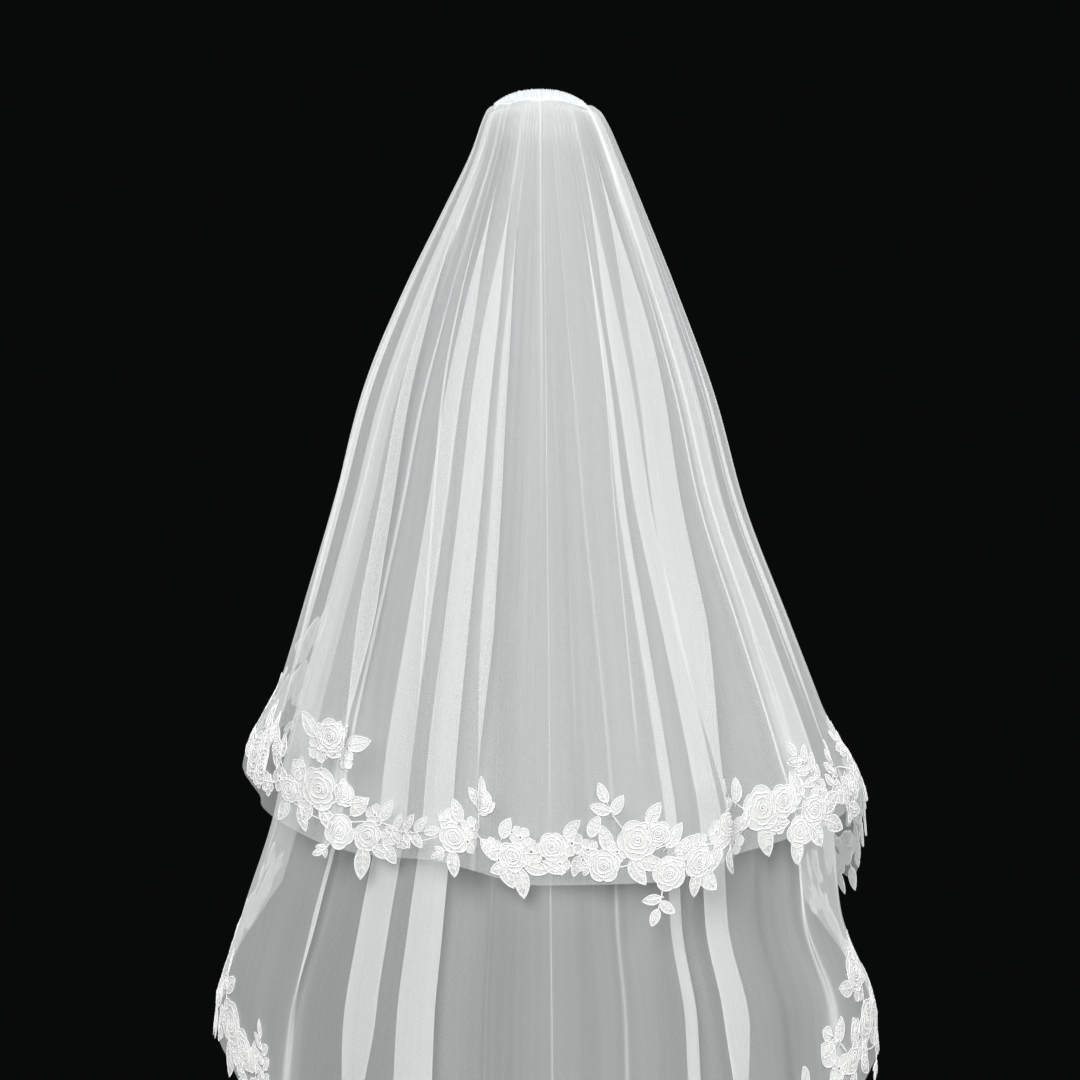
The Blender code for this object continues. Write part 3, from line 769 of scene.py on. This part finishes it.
def clear_acrylic():
    """Moulded clear acrylic: glossy, faintly clouded, and hardly seen behind the net."""
    made, tree, shader = started_material("clear_acrylic")
    place = node(tree, "ShaderNodeTexCoord").outputs["Object"]
    cloud = node(tree, "ShaderNodeTexNoise", {"Vector": place, "Scale": 120.0}).outputs["Fac"]
    limits = {"Value": cloud, "To Min": 0.10, "To Max": 0.22}
    rough = node(tree, "ShaderNodeMapRange", limits).outputs["Result"]
    tree.links.new(rough, shader.inputs["Roughness"])
    shader.inputs["Base Color"].default_value = linear("e9efef")
    shader.inputs["Transmission Weight"].default_value = 0.95
    shader.inputs["IOR"].default_value = 1.49
    shader.inputs["Alpha"].default_value = 0.35
    return made


def surface_mesh(name, points, faces, places, values, finishes):
    """A piece from points and faces, with a UV map in metres and named values at its points."""
    mesh = bpy.data.meshes.new(name)
    mesh.from_pydata(points.reshape(-1, 3).tolist(), [], faces)
    corners = np.empty(len(mesh.loops), np.int32)
    mesh.loops.foreach_get("vertex_index", corners)
    layer = mesh.uv_layers.new(name="flat")
    layer.data.foreach_set("uv", places.reshape(-1, 2)[corners].astype(np.float32).ravel())
    for title, found in values.items():
        kept = mesh.attributes.new(title, "FLOAT", "POINT")
        kept.data.foreach_set("value", found.astype(np.float32).ravel())
    for finish in finishes:
        mesh.materials.append(finish)
    mesh.shade_smooth()
    made = bpy.data.objects.new(name, mesh)
    bpy.context.scene.collection.objects.link(made)
    return made


def grid_faces(rows, columns, around=False):
    """The four-sided faces of a grid whose first row is the top, facing out."""
    index = np.arange(rows * columns).reshape(rows, columns)
    if around:
        index = np.concatenate([index, index[:, :1]], axis=1)
    corners = (index[:-1, :-1], index[1:, :-1], index[1:, 1:], index[:-1, 1:])
    return np.stack(corners, -1).reshape(-1, 4)


def cloth_sheet(tier, finish):
    """A tier's sheet: rows closer together near the heading, and one more that tucks its edge up into
    the roll; columns closer in the folds. It keeps how far the cloth is turned on edge, as a bell of
    its slope along the section, and how closely it is gathered."""
    run = sheet_columns(tier)
    hem = hem_drops(tier, run)
    share = np.linspace(0, 1, SHEET_ROWS)[:, None] ** ROW_POWER
    drop = CLOTH_TOP + (hem - CLOTH_TOP)[None, :] * share
    along = np.broadcast_to(run, drop.shape)
    points = tier_surface(tier, along, drop, hem - drop)
    moved, _ = pleated(tier, along, drop, hem - drop)
    slope = np.gradient(moved, run, axis=1)
    _, crest = gather_wave(tier, along, drop)
    turned = np.exp(-((slope / TURNED_SLOPE) ** 2)) + CREST_TURNED * crest
    degrees = np.abs(np.degrees(np.interp(moved, RUN_OF, ANGLES)))
    sides = smooth_step((degrees - SIDES_FROM) / SIDES_OVER)
    gathered = np.exp(-(drop - CLOTH_TOP) / GATHERED_FADE) + SIDES_GATHERED * sides
    tucked = points[:1] * np.array([1, TUCK_IN, 1]) + np.array([0, 0, TUCK_UP])
    points = np.concatenate([tucked, points])
    places = np.stack([along, -drop], -1)
    places = np.concatenate([places[:1] + np.array([0, TUCK_UP]), places])
    values = {"turned": turned, "gathered": gathered}
    values = {title: np.concatenate([found[:1], found]) for title, found in values.items()}
    faces = grid_faces(*points.shape[:2]).tolist()
    return surface_mesh(f"{tier}_tier_tulle", points, faces, places, values, [finish])


def cord(path, radius, height, closed=False, sides=3):
    """A cord along a flat path, as (kind, points, faces): rings of points across the path, each the
    cord's radius from it. Points are flat places and a height above the cloth."""
    path = np.asarray(path, float)
    if closed:
        run = np.roll(path, -1, axis=0) - np.roll(path, 1, axis=0)
    else:
        run = np.gradient(path, axis=0)
    run = run / (np.linalg.norm(run, axis=1, keepdims=True) + 1e-12)
    across = np.stack([-run[:, 1], run[:, 0]], -1)
    turn = 2 * np.pi * (np.arange(sides) + 0.25) / sides
    radius = np.broadcast_to(radius, len(path))[:, None]
    wide = radius * np.cos(turn)
    high = np.broadcast_to(height, len(path))[:, None] + radius * np.sin(turn)
    points = np.concatenate([path[:, None, :] + wide[..., None] * across[:, None, :], high[..., None]], -1)
    index = np.arange(len(path) * sides).reshape(-1, sides)
    if closed:
        index = np.concatenate([index, index[:1]])
    after = np.roll(index, -1, axis=1)
    faces = np.stack([index[:-1], after[:-1], after[1:], index[1:]], -1).reshape(-1, 4).tolist()
    if not closed:
        faces += [index[0, ::-1].tolist(), index[-1].tolist()]
    return "cord", points.reshape(-1, 3), faces


def filling(x, y, z, around=False):
    """A grid of flat places and heights as a piece of filling."""
    faces = grid_faces(*x.shape, around=around).tolist()
    return "fill", np.stack([x, y, z], -1).reshape(-1, 3), faces


def turned_parts(parts, turn, u=0.0, v=0.0, lift=0.0):
    """The same parts turned, moved along and up the cloth, and lifted off it."""
    across, up = math.cos(turn), math.sin(turn)
    found = []
    for kind, points, faces in parts:
        x = u + points[:, 0] * across - points[:, 1] * up
        y = v + points[:, 0] * up + points[:, 1] * across
        found.append((kind, np.stack([x, y, points[:, 2] + lift], -1), faces))
    return found


def leaf_edge(length, bend, t):
    """(middle, half width) of a leaf at shares of its length: widest before its middle, pointed at
    the tip, its midline bent as a parabola."""
    middle = np.stack([t * length, bend * length * (t * t - 0.6 * t)], -1)
    half = LEAF_WIDTH * length / 2 * np.sin(np.pi * np.clip(t, 0, 1) ** 0.85) ** 0.8
    return middle, half


def leaf(length, draws):
    """A leaf: a thin crowned filling, a cord round it, one down its middle and short side veins."""
    bend = draws.uniform(-LEAF_BEND, LEAF_BEND)
    t = np.linspace(0, 1, 6)[:, None]
    middle, half = leaf_edge(length, bend, t[:, 0])
    s = np.array([-1.0, 0.0, 1.0])
    crown = LACE_BASE + LEAF_CROWN * (1 - s**2) * np.sin(np.pi * t)
    parts = [filling(middle[:, :1] + 0 * s, middle[:, 1:] + half[:, None] * s, crown)]
    middle, half = leaf_edge(length, bend, np.linspace(0, 1, 9))
    left, right = middle.copy(), middle.copy()
    left[:, 1] += half
    right[:, 1] -= half
    around = np.concatenate([left, right[-2:0:-1]])
    parts.append(cord(around, CORD_RADIUS, LACE_BASE + EDGE_CORD, closed=True))
    midrib, _ = leaf_edge(length, bend, np.linspace(*MIDRIB, 5))
    parts.append(cord(midrib, np.linspace(1.0, 0.6, 5) * CORD_RADIUS, LACE_BASE + MIDRIB_CORD))
    for place in LEAF_VEINS:
        start, _ = leaf_edge(length, bend, np.array([place]))
        end, wide = leaf_edge(length, bend, np.array([place + VEIN_RISE]))
        for side in (-1, 1):
            tip = end[0] + [0, side * wide[0] * VEIN_REACH]
            parts.append(cord([start[0], tip], 0.5 * CORD_RADIUS, LACE_BASE + VEIN_CORD))
    return parts


def rose(size, draws):
    """A rose: a crowned scalloped filling under three rings of round petals, each ring turned half a
    petal on the last, and a cord wound into the heart."""
    shift = draws.uniform(0, 2 * np.pi)
    turn = np.linspace(0, 2 * np.pi, 42, endpoint=False)
    parts = []
    for ring, (reach, petals, high) in enumerate(ROSE_RINGS):
        lobe = np.abs(np.sin(petals * (turn + shift + ring * np.pi / petals) / 2)) ** 0.55
        radius = size / 2 * reach * (1 - ROSE_NOTCH + ROSE_NOTCH * lobe)
        around = radius[:, None] * np.stack([np.cos(turn), np.sin(turn)], -1)
        parts.append(cord(around, CORD_RADIUS, LACE_BASE + high, closed=True))
        if ring == 0:
            rings = np.array([0.04, 0.5, 1.0])[:, None]
            crown = LACE_BASE + ROSE_CROWN * (1 - rings**2) + 0 * turn[None, ::2]
            x, y = rings * around[None, ::2, 0], rings * around[None, ::2, 1]
            parts.append(filling(x, y, crown, around=True))
    wound = np.linspace(0, 1, 22)
    angle = 4 * np.pi * wound + shift
    reach = size / 2 * (HEART_REACH * (1 - wound) + 0.03)
    heart = reach[:, None] * np.stack([np.cos(angle), np.sin(angle)], -1)
    parts.append(cord(heart, CORD_RADIUS, LACE_BASE + HEART_CORD + HEART_RISE * wound))
    return parts


def blossom(size, draws):
    """A small five-petalled blossom: petals of filling with a cord round each and a ringed eye."""
    shift = draws.uniform(0, 2 * np.pi)
    t = np.linspace(0, 1, 5)[:, None]
    half = PETAL_WIDTH * size * np.sin(np.pi * t**1.5) ** 0.7
    out = size / 2 * (PETAL_START + (1 - PETAL_START) * t)
    s = np.array([-1.0, 0.0, 1.0])
    edge = np.concatenate([np.hstack([out, half]), np.hstack([out, -half])[-2:0:-1]])
    crown = LACE_BASE + PETAL_CROWN * np.sin(np.pi * t) * (1 - s**2)
    rim = cord(edge, 0.85 * CORD_RADIUS, LACE_BASE + EDGE_CORD, closed=True)
    petal = [filling(out + 0 * s, half * s, crown), rim]
    parts = []
    for count in range(5):
        parts += turned_parts(petal, shift + count * 2 * np.pi / 5)
    turn = np.linspace(0, 2 * np.pi, 7, endpoint=False)
    eye = size * EYE_REACH * np.stack([np.cos(turn), np.sin(turn)], -1)
    return parts + [cord(eye, 1.1 * CORD_RADIUS, LACE_BASE + EYE_CORD, closed=True)]


def leaves_on_stem(size, draws, leaves, bow):
    """The leaves of a table on a stem bowed as half a sine."""
    stem = np.linspace(0, STEM_SHARE, 7)
    path = size * np.stack([stem, bow * np.sin(np.pi * stem)], -1)
    parts = [cord(path, np.linspace(1.1, 0.7, 7) * CORD_RADIUS, LACE_BASE + STEM_CORD)]
    for start, turn, length in leaves:
        place = size * np.array([start, bow * math.sin(math.pi * start)])
        angle = math.radians(turn + draws.normal(0, LEAF_SWAY))
        parts += turned_parts(leaf(size * length, draws), angle, *place, draws.uniform(0, MOTIF_LIFT))
    return parts


def spray(size, draws):
    """Three leaves on a stem."""
    return leaves_on_stem(size, draws, SPRAY_LEAVES, draws.choice([-SPRAY_BOW, SPRAY_BOW]))


def branch(size, draws):
    """A longer stem with leaves on both sides."""
    return leaves_on_stem(size, draws, BRANCH_LEAVES, draws.choice([-BRANCH_BOW, BRANCH_BOW]))


def buds(size, draws):
    """Three buds at the end of a short stem."""
    return leaves_on_stem(size, draws, BUD_LEAVES, 0.0)


MOTIFS = {"leaf": leaf, "rose": rose, "blossom": blossom, "spray": spray, "branch": branch, "buds": buds}


def garland(tier, finishes):
    """The tier's lace: the motifs of the table made flat, the table repeated and mirrored as far as
    the hem goes, then laid on the sheet by distance along the hem and height above it."""
    draws = np.random.default_rng(GARLAND_SEEDS[tier])
    fine = np.linspace(RUN_OF[0], RUN_OF[-1], HEM_STEPS)
    hem = hem_drops(tier, fine)
    edge = tier_surface(tier, fine, hem, 0 * hem)
    length = np.concatenate([[0.0], np.cumsum(np.linalg.norm(np.diff(edge, axis=0), axis=1))])
    length -= np.interp(0.0, fine, length)
    parts = []
    for copy in range(-2, 3):
        mirrored = -1 if (copy + (tier == "lower")) % 2 else 1
        for motif, along, above, turn, size in GARLAND:
            u = 2 * copy * GARLAND_HALF + mirrored * along + draws.normal(0, MOTIF_SLIP)
            angle = math.radians(turn if mirrored > 0 else 180 - turn)
            made = MOTIFS[motif](size * draws.uniform(*MOTIF_SIZES), draws)
            lift = ROSE_LIFT if motif == "rose" else draws.uniform(0, MOTIF_LIFT)
            if length[0] + MOTIF_MARGIN < u < length[-1] - MOTIF_MARGIN:
                parts += turned_parts(made, angle, u, above, lift)
    stem = np.arange(length[0] + STEM_MARGIN, length[-1] - STEM_MARGIN, STEM_STEP)
    above = STEM_ABOVE + sum(far * np.sin(stem * pace) for far, pace in STEM_WAVES)
    parts.append(cord(np.stack([stem, above], -1), CORD_RADIUS, LACE_BASE + RUNNING_CORD))
    starts = np.cumsum([0] + [len(points) for _, points, _ in parts])
    flat = np.concatenate([points for _, points, _ in parts])
    faces = []
    for (_, _, sides), start in zip(parts, starts):
        faces += [[corner + start for corner in side] for side in sides]
    kinds = np.concatenate([np.full(len(sides), kind == "cord") for kind, _, sides in parts])
    run = np.interp(flat[:, 0], length, fine)
    hem = hem_drops(tier, run)
    drop = hem - flat[:, 1]
    middle = tier_surface(tier, run, drop, hem - drop)
    right = tier_surface(tier, run + NEAR, drop, hem - drop)
    across = right - tier_surface(tier, run - NEAR, drop, hem - drop)
    down = tier_surface(tier, run, drop + NEAR, hem - drop - NEAR) - middle
    normal = np.cross(down, across)
    normal /= np.linalg.norm(normal, axis=1, keepdims=True)
    placed = middle + normal * flat[:, 2:]
    made = surface_mesh(f"{tier}_lace_garland", placed, faces, flat[:, :2], {}, finishes)
    made.data.polygons.foreach_set("material_index", kinds.astype(np.int32))
    return made


def heading_roll(finish):
    """The heading: an arched roll that thins towards its ends from above, as one minus a power of the
    distance from its middle, its surface ridged by uneven gathers."""
    stations = np.linspace(-1, 1, ROLL_RINGS)[:, None]
    around = np.linspace(0, 2 * np.pi, ROLL_SIDES, endpoint=False)[None, :]
    x = stations * HEADING_LENGTH / 2
    full = 1 - ROLL_THINS * np.abs(stations) ** ROLL_POWER
    uneven = sum(amount * np.sin(pace * stations + shift) for amount, pace, shift in ROLL_UNEVEN)
    phase = 2 * np.pi * (ROLL_GATHERS * stations + uneven)
    ridge = ROLL_RIDGE * np.cos(phase + 0.5 * np.sin(around))
    ridge = ridge + ROLL_FINE_RIDGE * np.cos(2.3 * phase + 2 * around)
    y = full * (HEADING_DEPTH / 2 - ROLL_INSET + ridge) * np.cos(around)
    high = full * (HEADING_HEIGHT + HEADING_TUCK) / 2 * (1 + np.sin(around))
    z = TOP - HEADING_HEIGHT - HEADING_TUCK - heading_sag(x) + high + full * ridge * np.sin(around)
    points = np.stack([x + 0 * y, y, z], -1)
    index = np.arange(ROLL_RINGS * ROLL_SIDES).reshape(ROLL_RINGS, ROLL_SIDES)
    faces = grid_faces(ROLL_RINGS, ROLL_SIDES, around=True)[:, ::-1].tolist()
    faces += [index[0, ::-1].tolist(), index[-1].tolist()]
    places = np.stack([x + 0 * around, 0 * x + around * ROLL_MEAN_RADIUS], -1)
    return surface_mesh("heading_gathers", points, faces, places, {}, [finish])


def comb_stitches(finish):
    """Loops of thread that hold the comb's rail under the heading: leaning ovals round the rail
    between the teeth, each a ring of rings."""
    spots = (np.arange(1, COMB_TEETH) - COMB_TEETH / 2)[:, None, None] * COMB_LENGTH / COMB_TEETH
    turn = np.linspace(0, 2 * np.pi, 12, endpoint=False)[None, :, None]
    around = np.linspace(0, 2 * np.pi, 4, endpoint=False)[None, None, :]
    out = THREAD_RADIUS * np.cos(around)
    x = spots + STITCH_LEAN * np.sin(turn) + THREAD_RADIUS * np.sin(around)
    y = (STITCH_DEPTH + out) * np.cos(turn) + 0 * x
    middle = TOP - HEADING_HEIGHT - COMB_RAIL / 2
    z = middle - heading_sag(spots) + (STITCH_HEIGHT + out) * np.sin(turn) + 0 * x
    index = np.arange(x.size).reshape(x.shape)
    ahead, aside = np.roll(index, -1, axis=1), np.roll(index, -1, axis=2)
    faces = np.stack([index, ahead, np.roll(ahead, -1, axis=2), aside], -1).reshape(-1, 4).tolist()
    points = np.stack([x, y, z], -1)
    return surface_mesh("comb_stitches", points, faces, np.stack([x, z], -1), {}, [finish])


def area_light(name, place, aim, size, power):
    """A soft square light that faces a point."""
    light = bpy.data.lights.new(name, "AREA")
    light.shape = "SQUARE"
    light.size = size
    light.energy = power
    made = bpy.data.objects.new(name, light)
    made.location = place
    made.rotation_euler = (Vector(aim) - Vector(place)).to_track_quat("-Z", "Y").to_euler()
    bpy.context.scene.collection.objects.link(made)


def studio():
    """A pale floor, soft lights, the photograph's dark surround and the camera."""
    turn = np.linspace(0, 2 * np.pi, FLOOR_SIDES, endpoint=False)
    level = np.full(FLOOR_SIDES, FLOOR_LEVEL)
    rim = np.stack([FLOOR_RADIUS * np.cos(turn), FLOOR_RADIUS * np.sin(turn), level], -1)
    mesh = bpy.data.meshes.new("studio_floor")
    mesh.from_pydata(rim.tolist(), [], [list(range(FLOOR_SIDES))])
    floor = bpy.data.objects.new("studio_floor", mesh)
    bpy.context.scene.collection.objects.link(floor)
    finish, _, shader = started_material("pale_floor")
    shader.inputs["Base Color"].default_value = linear("b9b8b5")
    shader.inputs["Roughness"].default_value = 0.8
    mesh.materials.append(finish)
    world = bpy.data.worlds.new("studio_surround")
    world.use_nodes = True
    background = world.node_tree.nodes["Background"]
    background.inputs["Color"].default_value = linear("111213")
    background.inputs["Strength"].default_value = SURROUND_STRENGTH
    bpy.context.scene.world = world
    for name, place, size, power in LIGHTS:
        area_light(name, place, LIGHTS_FACE, size, power)
    camera = bpy.data.cameras.new("photo_view")
    camera.lens = CAMERA_LENS
    placed = bpy.data.objects.new("photo_view", camera)
    placed.location = CAMERA_PLACE
    placed.rotation_euler = (math.pi / 2, 0, 0)
    bpy.context.scene.collection.objects.link(placed)
    bpy.context.scene.camera = placed
    bpy.context.scene.cycles.transparent_max_bounces = NET_LAYERS
    bpy.context.scene.view_settings.view_transform = "Standard"


studio()
cord_finish = twisted_thread("rayon_cord")
sewing_finish = twisted_thread("sewing_thread")
fill_finish = lace_filling()
roll = heading_roll(rolled_tulle())
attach(roll, "root")
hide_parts("heading")
stitches = comb_stitches(sewing_finish)
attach(stitches, "root")
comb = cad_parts["comb"]
comb.data.materials.clear()
comb.data.materials.append(clear_acrylic())
for tier, (flat, area, seed, veils) in CUTS.items():
    sheet = cloth_sheet(tier, tulle(f"{tier}_soft_tulle", seed, veils))
    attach(sheet, "root")
    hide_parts(f"{tier}_tier")
    lace = garland(tier, [fill_finish, cord_finish])
    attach(lace, "root")
    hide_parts(f"{tier}_lace")
